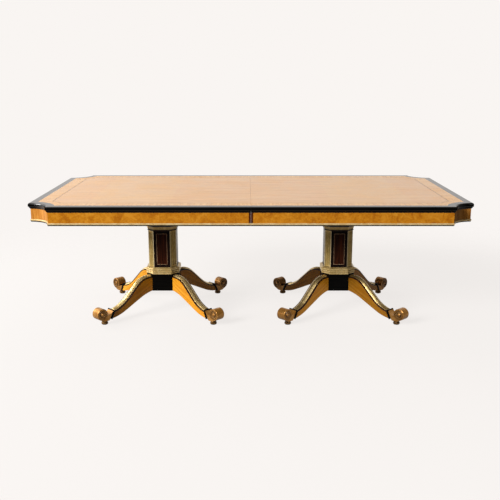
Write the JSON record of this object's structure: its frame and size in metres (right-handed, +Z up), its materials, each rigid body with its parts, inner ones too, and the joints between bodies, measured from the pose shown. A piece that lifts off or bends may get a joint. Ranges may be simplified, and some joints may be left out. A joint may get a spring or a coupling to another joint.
{
  "type": "double pedestal dining table",
  "caption": "Long extending dining table with scooped corners, a dark moulded edge and a gilt-beaded apron, on octagonal columns with S-curved legs and scroll feet.",
  "frame": {"origin": "on the floor under the middle of the closed top", "axes": "+X along the table to the right, +Y to the back, +Z up"},
  "size_m": [2.45, 1.27, 0.762],
  "materials": {
    "field_maple": "pale golden figured veneer under a gloss lacquer",
    "crossband_satinwood": "gloss lacquer",
    "black_lacquer": "ebonised, polished gloss",
    "birdseye_maple": "golden stain under a gloss lacquer",
    "leg_satinwood": "golden stain under a gloss lacquer",
    "rosewood": "polished gloss",
    "gilding": "rubbed gold leaf over carved wood",
    "antique_gilding": "toned gold leaf over carved wood",
    "brass": "polished",
    "secondary_wood": "plain sealed timber",
    "steel": "bright zinc"
  },
  "bodies": {
    "left_half": {"left_top_core": "secondary_wood", "left_field_veneer": "field_maple", "left_crossband": "crossband_satinwood", "left_string_line": "black_lacquer", "left_edge_moulding": "black_lacquer", "left_apron_sides": "birdseye_maple", "left_apron_end": "birdseye_maple", "left_apron_corners": "birdseye_maple", "left_apron_posts": "rosewood", "left_apron_bead": "gilding", "left_slide_rails": "secondary_wood", "left_bearers": "secondary_wood", "left_platform": "secondary_wood", "left_pedestal_bolts": "steel", "left_column_core": "rosewood", "left_column_panels": "rosewood", "left_panel_lines": "brass", "left_pilasters": "gilding", "left_cap_moulding": "gilding", "left_base_moulding": "gilding", "left_hub": "black_lacquer", "left_legs": "leg_satinwood", "left_leg_crests": "gilding", "left_leg_strings": "black_lacquer", "left_leg_collars": "black_lacquer", "left_scroll_feet": "antique_gilding", "left_foot_pads": "antique_gilding", "lock_plates": "brass"},
    "right_half": {"right_top_core": "secondary_wood", "right_field_veneer": "field_maple", "right_crossband": "crossband_satinwood", "right_string_line": "black_lacquer", "right_edge_moulding": "black_lacquer", "right_apron_sides": "birdseye_maple", "right_apron_end": "birdseye_maple", "right_apron_corners": "birdseye_maple", "right_apron_posts": "rosewood", "right_apron_bead": "gilding", "right_slide_rails": "secondary_wood", "right_bearers": "secondary_wood", "right_platform": "secondary_wood", "right_pedestal_bolts": "steel", "right_column_core": "rosewood", "right_column_panels": "rosewood", "right_panel_lines": "brass", "right_pilasters": "gilding", "right_cap_moulding": "gilding", "right_base_moulding": "gilding", "right_hub": "black_lacquer", "right_legs": "leg_satinwood", "right_leg_crests": "gilding", "right_leg_strings": "black_lacquer", "right_leg_collars": "black_lacquer", "right_scroll_feet": "antique_gilding", "right_foot_pads": "antique_gilding", "lock_keepers": "brass", "alignment_dowels": "secondary_wood"},
    "centre_rails": {"centre_slide_rails": "secondary_wood"},
    "front_lock": {"front_lock_lever": "brass"},
    "back_lock": {"back_lock_lever": "brass"}
  },
  "joints": [
    {"name": "extension_slide", "type": "slide", "parent": "left_half", "child": "right_half", "axis": [1, 0, 0], "range_m": [0, 1.016]},
    {"name": "centre_rail_slide", "type": "slide", "parent": "left_half", "child": "centre_rails", "axis": [1, 0, 0], "range_m": [0, 0.508]},
    {"name": "front_lock_turn", "type": "hinge", "parent": "left_half", "child": "front_lock", "pos_m": [-0.042, -0.51, 0.73], "axis": [0, 0, -1], "range_deg": [0, 80]},
    {"name": "back_lock_turn", "type": "hinge", "parent": "left_half", "child": "back_lock", "pos_m": [-0.042, 0.51, 0.73], "axis": [0, 0, 1], "range_deg": [0, 80]}
  ],
  "couplings": [
    {"joint": "centre_rail_slide", "follows": "extension_slide", "ratio": 0.5}
  ]
}
